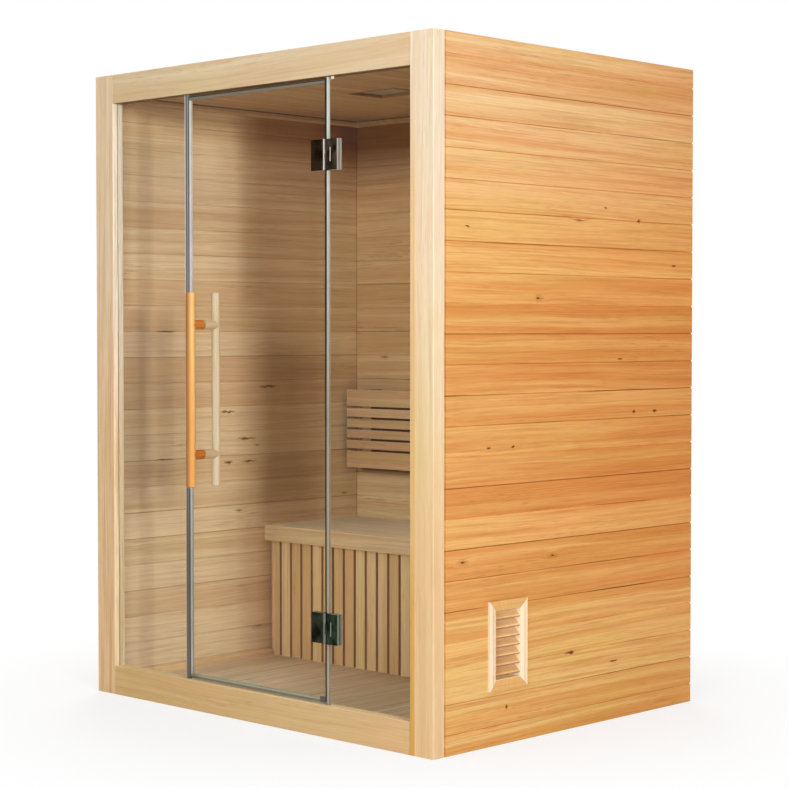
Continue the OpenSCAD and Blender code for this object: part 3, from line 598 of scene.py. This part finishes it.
# ---- Air vent --------------------------------------------------------------------------------------------
# A pale moulded frame holds sloping louvres over a hole through the right wall. A sloping foot under the
# lowest louvre sheds water outwards.


def between(tree, value, low, high):
    """1 where value lies between low and high, and else 0."""
    above = calc(tree, "GREATER_THAN", value, low)
    return calc(tree, "MULTIPLY", above, calc(tree, "LESS_THAN", value, high))


def block(name, size, centre, rounding=0.0):
    """A small block of a size round its centre, with rounded edges if rounding is given."""
    bpy.ops.object.select_all(action="DESELECT")
    bpy.ops.mesh.primitive_cube_add(size=1.0, location=(0.0, 0.0, 0.0))
    made = bpy.context.object
    made.name = name
    bpy.ops.object.mode_set(mode="EDIT")
    bpy.ops.transform.resize(value=size, center_override=(0.0, 0.0, 0.0))
    if rounding:
        bpy.ops.mesh.bevel(offset=rounding, segments=3)
    bpy.ops.transform.translate(value=centre)
    bpy.ops.object.mode_set(mode="OBJECT")
    return made


cream_wood = (shade(238, 216, 184), shade(228, 198, 158), shade(200, 158, 110))
# painted falloff of the light on the frame: the posts and the sill turn darker and more golden from 1.4 m down
# to 0.7 m and below
painted_falloff_frame = (1.4, 0.7, (0.93, 0.84, 0.68, 1.0))
vent_wood = wood_finish("vent_frame_wood", along_z, 51.0, cream_wood,
                        bands=0.3, streaks=0.1, fibres=0.05, flecks=0.0)
tree = vent_wood.node_tree
low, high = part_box("vent_frame")
middle, half = (low + high) / 2, (high - low) / 2
line_start, line_end, hole_edge, front_depth = 0.0122, 0.0155, 0.02, 0.01
place = place_on(tree)
off_width = calc(tree, "ABSOLUTE", calc(tree, "SUBTRACT", place[inwards], middle.y))
off_height = calc(tree, "ABSOLUTE", calc(tree, "SUBTRACT", place[upwards], middle.z))
from_side = calc(tree, "SUBTRACT", half.y, off_width)
from_end = calc(tree, "SUBTRACT", half.z, off_height)
# the two lying bars of the frame are deeper in colour, and a thin darker line runs along the upright ones
lying = calc(tree, "MULTIPLY", calc(tree, "LESS_THAN", from_end, from_side),
             calc(tree, "GREATER_THAN", place[sideways], high.x - front_depth))
stained_or_shaded(vent_wood, lying, (0.8, 0.57, 0.29))
in_line = calc(tree, "MULTIPLY", between(tree, from_side, line_start, line_end),
               calc(tree, "SUBTRACT", 1.0, lying))
stained_or_shaded(vent_wood, in_line, (0.8, 0.8, 0.84))
# painted light on the side faces of the hole
reveal = calc(tree, "MULTIPLY", calc(tree, "GREATER_THAN", normal_share(tree, inwards), 0.9),
              calc(tree, "GREATER_THAN", from_side, hole_edge))
stained_or_shaded(vent_wood, reveal, (1.15, 1.25, 1.4))
dress("vent_frame", vent_wood)
louvre_wood = (shade(240, 202, 168), shade(228, 180, 138), shade(170, 112, 68))
louvre_finish = wood_finish("louvre_wood", along_y, 52.0, louvre_wood)
# painted light and shade on the louvres: a darker orange band across each one, a painted highlight along the
# outer lip, a painted shadow towards the front end and painted shade on the edges that face outwards
laid(louvre_finish, (0.94, 0.82, 0.6),
     (sideways, high.x - 0.017, high.x - 0.021), (sideways, high.x - 0.009, high.x - 0.007))
laid(louvre_finish, (1.12, 1.15, 0.95), (sideways, high.x - 0.007, high.x - 0.009))
laid(louvre_finish, (0.84, 0.74, 0.64), (inwards, low.y + 0.035, low.y + 0.075))
tree = louvre_finish.node_tree
stained_or_shaded(louvre_finish, calc(tree, "GREATER_THAN", normal_share(tree, sideways), 0.7), (0.55, 0.42, 0.28))
dress("vent_louvres", louvre_finish)
low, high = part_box("vent_louvres")
foot_depth, foot_height, foot_slope = 0.027, 0.0195, 0.0175
foot_rise, foot_setback = 0.0292, 0.0142
foot_bottom = middle.z - half.z + foot_rise
foot = block("vent_foot", (foot_depth, high.y - low.y - 0.001, foot_height),
             (high.x - foot_setback, middle.y, foot_bottom + foot_height / 2))
for corner in foot.data.vertices:
    corner.select = corner.co.x > high.x - 0.002 and corner.co.z > foot_bottom + foot_height / 2
bpy.ops.object.mode_set(mode="EDIT")
bpy.ops.transform.translate(value=(0.0, 0.0, -foot_slope))
bpy.ops.mesh.select_all(action="SELECT")
bpy.ops.mesh.bevel(offset=0.0005, segments=2)
bpy.ops.object.mode_set(mode="OBJECT")
# the foot is painted paler than the frame, as painted light, since it sits in the shade of the lowest louvre
painted_light_foot_wood = (shade(255, 222, 174), shade(250, 206, 154), shade(200, 140, 90))
foot.data.materials.append(wood_finish("vent_foot_wood", along_y, 53.0, painted_light_foot_wood))
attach(foot, "cabin")

# ---- Front frame -----------------------------------------------------------------------------------------
# Two posts with a header and a sill between them, planed from pale softwood and grooved for the glass.
low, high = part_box("front_post_left")
right_face = (sideways, high.x - 0.0008, high.x - 0.0012)
left_post_wood = wood_finish("left_post_wood", along_z, 61.0, cream_wood, toned=painted_falloff_frame,
                             bands=1.1, streaks=1.0, fibres=0.3)
# painted light on the face of the left post that looks towards the door, and painted shade on its part behind
# the glass
laid(left_post_wood, (1.14, 1.36, 1.7), right_face)
laid(left_post_wood, (0.83, 0.82, 0.8), right_face, (inwards, low.y + 0.026, low.y + 0.025))
dress("front_post_left", left_post_wood)
low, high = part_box("front_post_right")
right_face = (sideways, high.x - 0.0008, high.x - 0.0012)
glass_side = (sideways, low.x + 0.017, low.x + 0.0215)
front_part = (inwards, low.y + 0.0198, low.y + 0.02)
right_post_wood = wood_finish("right_post_wood", along_z, 62.0, cream_wood, toned=painted_falloff_frame,
                              streaks=0.4, fibres=0.2)
# painted shade: the outer side face of the right post is a little darker
laid(right_post_wood, (0.94, 0.95, 1.02), right_face)
laid(right_post_wood, (1.01, 1.09, 1.13))
laid(right_post_wood, (1.0, 1.03, 1.14), (upwards, 1.75, 1.2))
laid(right_post_wood, (0.97, 0.92, 0.87), (upwards, 0.5, 0.9))
laid(right_post_wood, (0.94, 0.84, 0.62), glass_side, front_part, (upwards, 1.6, 1.8))
laid(right_post_wood, (0.98, 0.85, 0.6), glass_side, (upwards, 0.4, 0.6), front_part)
dress("front_post_right", right_post_wood)
header_wood = (shade(232, 212, 181), shade(222, 195, 156), shade(195, 155, 108))
sill_wood = (shade(228, 212, 178), shade(219, 193, 151), shade(190, 153, 106))
low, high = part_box("front_header")
header_finish = wood_finish("header_wood", along_x, 63.0, header_wood, streaks=0.45)
laid(header_finish, (0.94, 0.92, 0.88))
laid(header_finish, (0.99, 1.0, 1.02), (sideways, 0.3, -0.5))
# painted shade on the underside of the header
laid(header_finish, (0.3, 0.24, 0.17),
     (upwards, low.z + 0.001, low.z + 0.003), (inwards, low.y + 0.002, low.y + 0.001))
dress("front_header", header_finish)
low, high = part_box("front_sill")
sill_finish = wood_finish("front_sill_wood", along_x, 64.0, sill_wood, toned=painted_falloff_frame, streaks=0.45)
# painted falloff: the sill darkens towards its left end
laid(sill_finish, (0.96, 0.9, 0.8), (sideways, -0.5, 0.2))
# painted light on the top face of the sill
dress("front_sill", laid(sill_finish, (1.25, 1.35, 1.6), (upwards, high.z - 0.0005, high.z - 0.0015)))

# ---- Glass -----------------------------------------------------------------------------------------------
# Clear tempered panes, eight millimetres thick, with ground edges that look grey-green.
# The fixed ones stand in grooves of the frame, and the door hangs on the right one.
glass, tree, surface = new_finish("clear_glass")
surface.inputs["Transmission Weight"].default_value = 1.0
surface.inputs["Roughness"].default_value = 0.0
surface.inputs["IOR"].default_value = 1.45
surface.inputs["Specular Tint"].default_value = (0.05, 0.05, 0.05, 1.0)
on_edge = calc(tree, "LESS_THAN", normal_share(tree, inwards), 0.5)
feed(tree, surface.inputs["Base Color"], tint(tree, on_edge, (0.985, 0.995, 0.99, 1.0), shade(60, 74, 66)))
feed(tree, surface.inputs["Roughness"], calc(tree, "MULTIPLY", on_edge, 0.4))
clear = tree.nodes.new("ShaderNodeBsdfTransparent")
clear.inputs[0].default_value = (0.97, 0.98, 0.97, 1.0)
ray = tree.nodes.new("ShaderNodeLightPath")
shader = surface.outputs[0]
for kind in ("Is Shadow Ray", "Is Diffuse Ray"):
    passing = tree.nodes.new("ShaderNodeMixShader")
    feed(tree, passing.inputs[0], ray.outputs[kind])
    feed(tree, passing.inputs[1], shader)
    feed(tree, passing.inputs[2], clear.outputs[0])
    shader = passing.outputs[0]
feed(tree, tree.nodes["Material Output"].inputs[0], shader)
for pane in ("fixed_glass_left", "fixed_glass_right", "door_glass"):
    dress(pane, glass)

# ---- Edge seals ------------------------------------------------------------------------------------------
# Soft clear-grey channels are pressed on the upright edges of the door and of the panes beside it.


def seal_finish(name, pale, deep, *bands):
    """A soft strip in two slowly changing greys. Each band is an axis, two places on it and a colour."""
    finish, tree, surface = new_finish(name)
    place = place_on(tree)
    change = cloud(tree, point(tree, 0.0, 0.0, calc(tree, "MULTIPLY", place[upwards], 9.0)))
    colour = tint(tree, spread(tree, change, 0.35, 0.65), pale, deep)
    for axis, start, end, band_colour in bands:
        colour = tint(tree, between(tree, place[axis], start, end), colour, band_colour)
    feed(tree, surface.inputs["Base Color"], colour)
    surface.inputs["Roughness"].default_value = 0.3
    return finish


latch_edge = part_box("fixed_seal_left")[0].x
slate_seal = seal_finish(
    "slate_seal", shade(150, 148, 144), shade(136, 136, 132),
    (sideways, latch_edge - 0.001, latch_edge + 0.0035, shade(208, 206, 200)),
    (sideways, latch_edge + 0.0035, latch_edge + 0.0105, shade(106, 102, 94)),
)
# painted shade: the seal darkens towards the bottom
dress("fixed_seal_left", laid(slate_seal, (0.52, 0.48, 0.42), (upwards, 0.5, 1.0)))
low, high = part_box("door_edge_seal")
# the dark strips at the head and foot of the door seal are painted shadow of the gaps above and below the door
clear_seal = seal_finish(
    "clear_seal", shade(226, 222, 216), shade(206, 204, 198),
    (sideways, low.x - 0.001, low.x + 0.003, shade(150, 148, 146)),
    (upwards, low.z - 0.001, low.z + 0.0128, shade(152, 154, 132)),
    (upwards, low.z - 0.001, low.z + 0.0065, shade(104, 108, 92)),
    (upwards, high.z - 0.0128, high.z + 0.001, shade(124, 118, 104)),
    (upwards, high.z - 0.004, high.z + 0.001, shade(58, 48, 34)),
)
# painted shade: the left part of the door seal darkens towards the bottom
dress("door_edge_seal", laid(clear_seal, (0.6, 0.56, 0.5), (upwards, 0.5, 1.0), (sideways, -0.28, -0.25)))
low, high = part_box("fixed_seal_right")
grey_seal = seal_finish("grey_seal", shade(222, 223, 216), shade(208, 210, 204))
# painted shadow of the gap beside the door along the left edge of the right seal, deeper low down, and painted
# shade towards its bottom
left_edge = (sideways, low.x + 0.0028, low.x + 0.0045)
laid(grey_seal, (0.36, 0.34, 0.3), left_edge, (upwards, 1.3, 0.8))
laid(grey_seal, (0.7, 0.66, 0.62), left_edge)
dress("fixed_seal_right", laid(grey_seal, (0.52, 0.44, 0.37), (upwards, 0.9, 1.85)))
# a dark rubber shoe is pushed over the lower corner of the door, on the hinge side
low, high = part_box("door_glass")
shoe_size, shoe_setback, shoe_level = (0.021, 0.014, 0.015), 0.0106, 0.1065
shoe_centre = (high.x - shoe_setback, (low.y + high.y) / 2, shoe_level)
shoe = block("door_corner_shoe", shoe_size, shoe_centre, rounding=0.0015)
shoe.data.materials.append(seal_finish("shoe_rubber", shade(86, 84, 78), shade(66, 64, 58)))
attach(shoe, "door")
# a small pale stop holds the head of the right pane beside its seal
stop_size, stop_place, stop_stand_off, stop_drop = (0.012, 0.004, 0.008), 0.34, 0.0021, 0.0042
stop_centre = (stop_place, low.y - stop_stand_off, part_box("front_header")[0].z - stop_drop)
stop = block("pane_stop", stop_size, stop_centre, rounding=0.0012)
stop.data.materials.append(seal_finish("stop_nylon", shade(236, 228, 196), shade(222, 212, 176)))
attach(stop, "cabin")

# ---- Hinges ----------------------------------------------------------------------------------------------
# Polished dark-plated clamps on both faces of the glass turn on a pin in front of it.
# the reflections and glints of the polished plating are painted into its colour; a mottled smear varies both
# that painted reflection and the roughness
plating, tree, surface = new_finish("hinge_plating")
place = place_on(tree)
smear_and_reflection = stretched(tree, *[(number, 25.0) for number in place])
low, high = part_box("upper_hinge_fixed_leaf")
pin_place, leaf_start, knuckle_start = low.x + 0.0055, low.x + 0.012, low.x + 0.006
slot_front, slot_back = 0.0042, 0.0058
glass_front, glass_back = 0.0112, 0.0198
knuckle_depth, plate_reach, between_hinges = 0.0017, 0.02, 1.0
from_front = calc(tree, "SUBTRACT", place[inwards], low.y)
from_pin = calc(tree, "ABSOLUTE", calc(tree, "SUBTRACT", place[sideways], pin_place))
is_low = calc(tree, "LESS_THAN", place[upwards], between_hinges)
fixed_side = calc(tree, "GREATER_THAN", place[sideways], leaf_start)
low_fixed = calc(tree, "MULTIPLY", is_low, fixed_side)
# the fronts of the plates are dark, with painted reflections that are lighter on the fixed leaf and change on
# the lower hinge
plate_front = tint(tree, spread(tree, smear_and_reflection, 0.36, 0.64), shade(78, 56, 36), shade(24, 14, 6))
plate_front = tint(tree, fixed_side, plate_front, (3.0, 3.9, 5.4, 1.0), "MULTIPLY")
plate_front = tint(tree, is_low, plate_front, (0.5, 1.15, 1.3, 1.0), "MULTIPLY")
plate_front = tint(tree, low_fixed, plate_front, (0.4, 0.4, 0.32, 1.0), "MULTIPLY")
# painted highlights: the slot, the knuckles, the outer edges and the bridge through the glass are painted
# bright, as glints on the polished plating
slot_floor = between(tree, from_front, slot_front, slot_back)
barrel = calc(tree, "GREATER_THAN", place[sideways], knuckle_start)
barrel = calc(tree, "MULTIPLY", barrel, calc(tree, "LESS_THAN", from_front, knuckle_depth))
flat = calc(tree, "GREATER_THAN", normal_share(tree, inwards), 0.5)
on_glass = between(tree, from_front, glass_front, glass_back)
outer_edge = calc(tree, "SUBTRACT", 1.0, flat)
outer_edge = calc(tree, "MULTIPLY", outer_edge, calc(tree, "GREATER_THAN", from_pin, plate_reach))
painted_highlight = calc(tree, "MAXIMUM", slot_floor, barrel)
painted_highlight = calc(tree, "MAXIMUM", painted_highlight, calc(tree, "MAXIMUM", outer_edge, on_glass))
highlight_colour = tint(tree, on_glass, shade(190, 186, 180), shade(164, 162, 152))
highlight_colour = tint(tree, barrel, highlight_colour, (0.66, 0.66, 0.66, 1.0), "MULTIPLY")
highlight_colour = tint(tree, is_low, highlight_colour, (0.42, 0.5, 0.46, 1.0), "MULTIPLY")
feed(tree, surface.inputs["Base Color"], tint(tree, painted_highlight, plate_front, highlight_colour))
feed(tree, surface.inputs["Roughness"], spread(tree, smear_and_reflection, 0.3, 0.7, 0.08, 0.2))
feed(tree, surface.inputs["Metallic"], calc(tree, "MULTIPLY_ADD", painted_highlight, -0.7, 1.0))
for height in ("upper", "lower"):
    for leaf in ("fixed", "door"):
        dress(f"{height}_hinge_{leaf}_leaf", plating)

# ---- Handles ---------------------------------------------------------------------------------------------
# Turned bars on two posts each side of the door: orange varnish outside, bare pale wood inside.
orange_wood = (shade(230, 180, 112), shade(220, 158, 86), shade(174, 104, 46))
deep_wood = (shade(206, 129, 52), shade(186, 104, 37), shade(132, 69, 23))
knob_wood = (shade(211, 189, 154), shade(197, 171, 132), shade(166, 131, 88))
low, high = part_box("handle_outer_bar")
bar = (low + high) / 2
outer_bar = wood_finish("outer_bar_wood", along_z, 71.0, orange_wood, gloss=0.3)
# painted shade on the left side of the outer bar, and painted highlights down its front and on its right-hand
# side
laid(outer_bar, (0.6, 0.48, 0.3), (sideways, bar.x + 0.003, bar.x + 0.0135))
laid(outer_bar, (1.07, 1.26, 1.7),
     (inwards, bar.y - 0.01, bar.y - 0.013), (inwards, bar.y - 0.003, bar.y + 0.001),
     (sideways, bar.x + 0.009, bar.x + 0.007), (upwards, 1.15, 0.8))
laid(outer_bar, (1.2, 1.3, 1.3), (inwards, bar.y + 0.002, bar.y - 0.01), (sideways, bar.x + 0.005, bar.x))
dress("handle_outer_bar", outer_bar)
dress("handle_outer_posts", wood_finish("outer_post_wood", along_y, 72.0, deep_wood, gloss=0.35))
bare_wood = (shade(221, 203, 178), shade(212, 188, 156), shade(184, 150, 110))
dress("handle_inner_bar", wood_finish("inner_bar_wood", along_z, 73.0, bare_wood))
dress("handle_inner_posts", wood_finish("inner_post_wood", along_y, 74.0, knob_wood))

# ---- Studio ----------------------------------------------------------------------------------------------
# A pale floor that fades into a white room, with large soft lamps to the right, in front, above and behind,
# and a small one under the cabin's ceiling.


def seen_directly(tree):
    """1 where the camera looks at a surface, straight or through glass."""
    ray = tree.nodes.new("ShaderNodeLightPath").outputs
    return calc(tree, "MAXIMUM", ray["Is Camera Ray"], ray["Is Transmission Ray"])


bpy.ops.object.select_all(action="DESELECT")
bpy.ops.mesh.primitive_plane_add(size=60.0, location=(0.0, 0.0, 0.0))
studio_floor = bpy.context.object
studio_floor.name = "studio_floor"
paper, tree, surface = new_finish("floor_paper")
surface.inputs["Base Color"].default_value = (0.92, 0.92, 0.92, 1.0)
surface.inputs["Roughness"].default_value = 0.9
surface.inputs["Specular IOR Level"].default_value = 0.0
floor_x, floor_y, _ = place_on(tree)
far = calc(tree, "MULTIPLY_ADD", floor_x, floor_x, calc(tree, "MULTIPLY", floor_y, floor_y))
far = spread(tree, calc(tree, "SQRT", far), 0.8, 1.7, 0.7, 1.0, smooth=True)
white = tree.nodes.new("ShaderNodeEmission")
lit = tree.nodes.new("ShaderNodeMixShader")
feed(tree, lit.inputs[0], calc(tree, "MULTIPLY", far, seen_directly(tree)))
feed(tree, lit.inputs[1], surface.outputs[0])
feed(tree, lit.inputs[2], white.outputs[0])
feed(tree, tree.nodes["Material Output"].inputs[0], lit.outputs[0])
studio_floor.data.materials.append(paper)

room = bpy.data.worlds.new("white_room")
bpy.context.scene.world = room
room.use_nodes = True
tree = room.node_tree
ambient = tree.nodes["Background"]
ambient.inputs[0].default_value = (1.0, 1.0, 1.0, 1.0)
ambient.inputs[1].default_value = 0.35
backdrop = tree.nodes.new("ShaderNodeBackground")
backdrop.inputs[0].default_value = (1.0, 1.0, 1.0, 1.0)
backdrop.inputs[1].default_value = 1.0
chooser = tree.nodes.new("ShaderNodeMixShader")
feed(tree, chooser.inputs[0], seen_directly(tree))
feed(tree, chooser.inputs[1], ambient.outputs[0])
feed(tree, chooser.inputs[2], backdrop.outputs[0])
feed(tree, tree.nodes["World Output"].inputs[0], chooser.outputs[0])


def soft_lamp(name, place, target, size, power):
    """A square lamp at place that faces target."""
    lamp_data = bpy.data.lights.new(name, "AREA")
    lamp_data.shape = "SQUARE"
    lamp_data.size = size
    lamp_data.energy = power
    lamp = bpy.data.objects.new(name, lamp_data)
    lamp.location = place
    lamp.rotation_euler = (Vector(place) - Vector(target)).to_track_quat("Z", "Y").to_euler()
    bpy.context.scene.collection.objects.link(lamp)
    return lamp


soft_lamp("key_lamp", (6.5, -3.13, 2.0), (0.0, 0.0, 1.0), 1.0, 265.0)
soft_lamp("front_lamp", (2.5, -5.0, 2.2), (0.0, -0.3, 0.9), 2.0, 75.0)
soft_lamp("top_lamp", (0.5, -1.0, 5.5), (0.0, 0.0, 0.0), 3.0, 80.0)
room_lamp = soft_lamp("room_lamp", (0.2, 0.22, 1.9), (0.2, 0.22, 0.0), 0.4, 1.3)
room_lamp.data.spread = math.radians(100)
room_lamp.visible_camera = False
room_lamp.visible_transmission = False
soft_lamp("back_lamp", (-4.5, 4.0, 2.6), (0.0, 0.0, 1.0), 3.0, 250.0)

bpy.context.scene.view_settings.view_transform = "Standard"
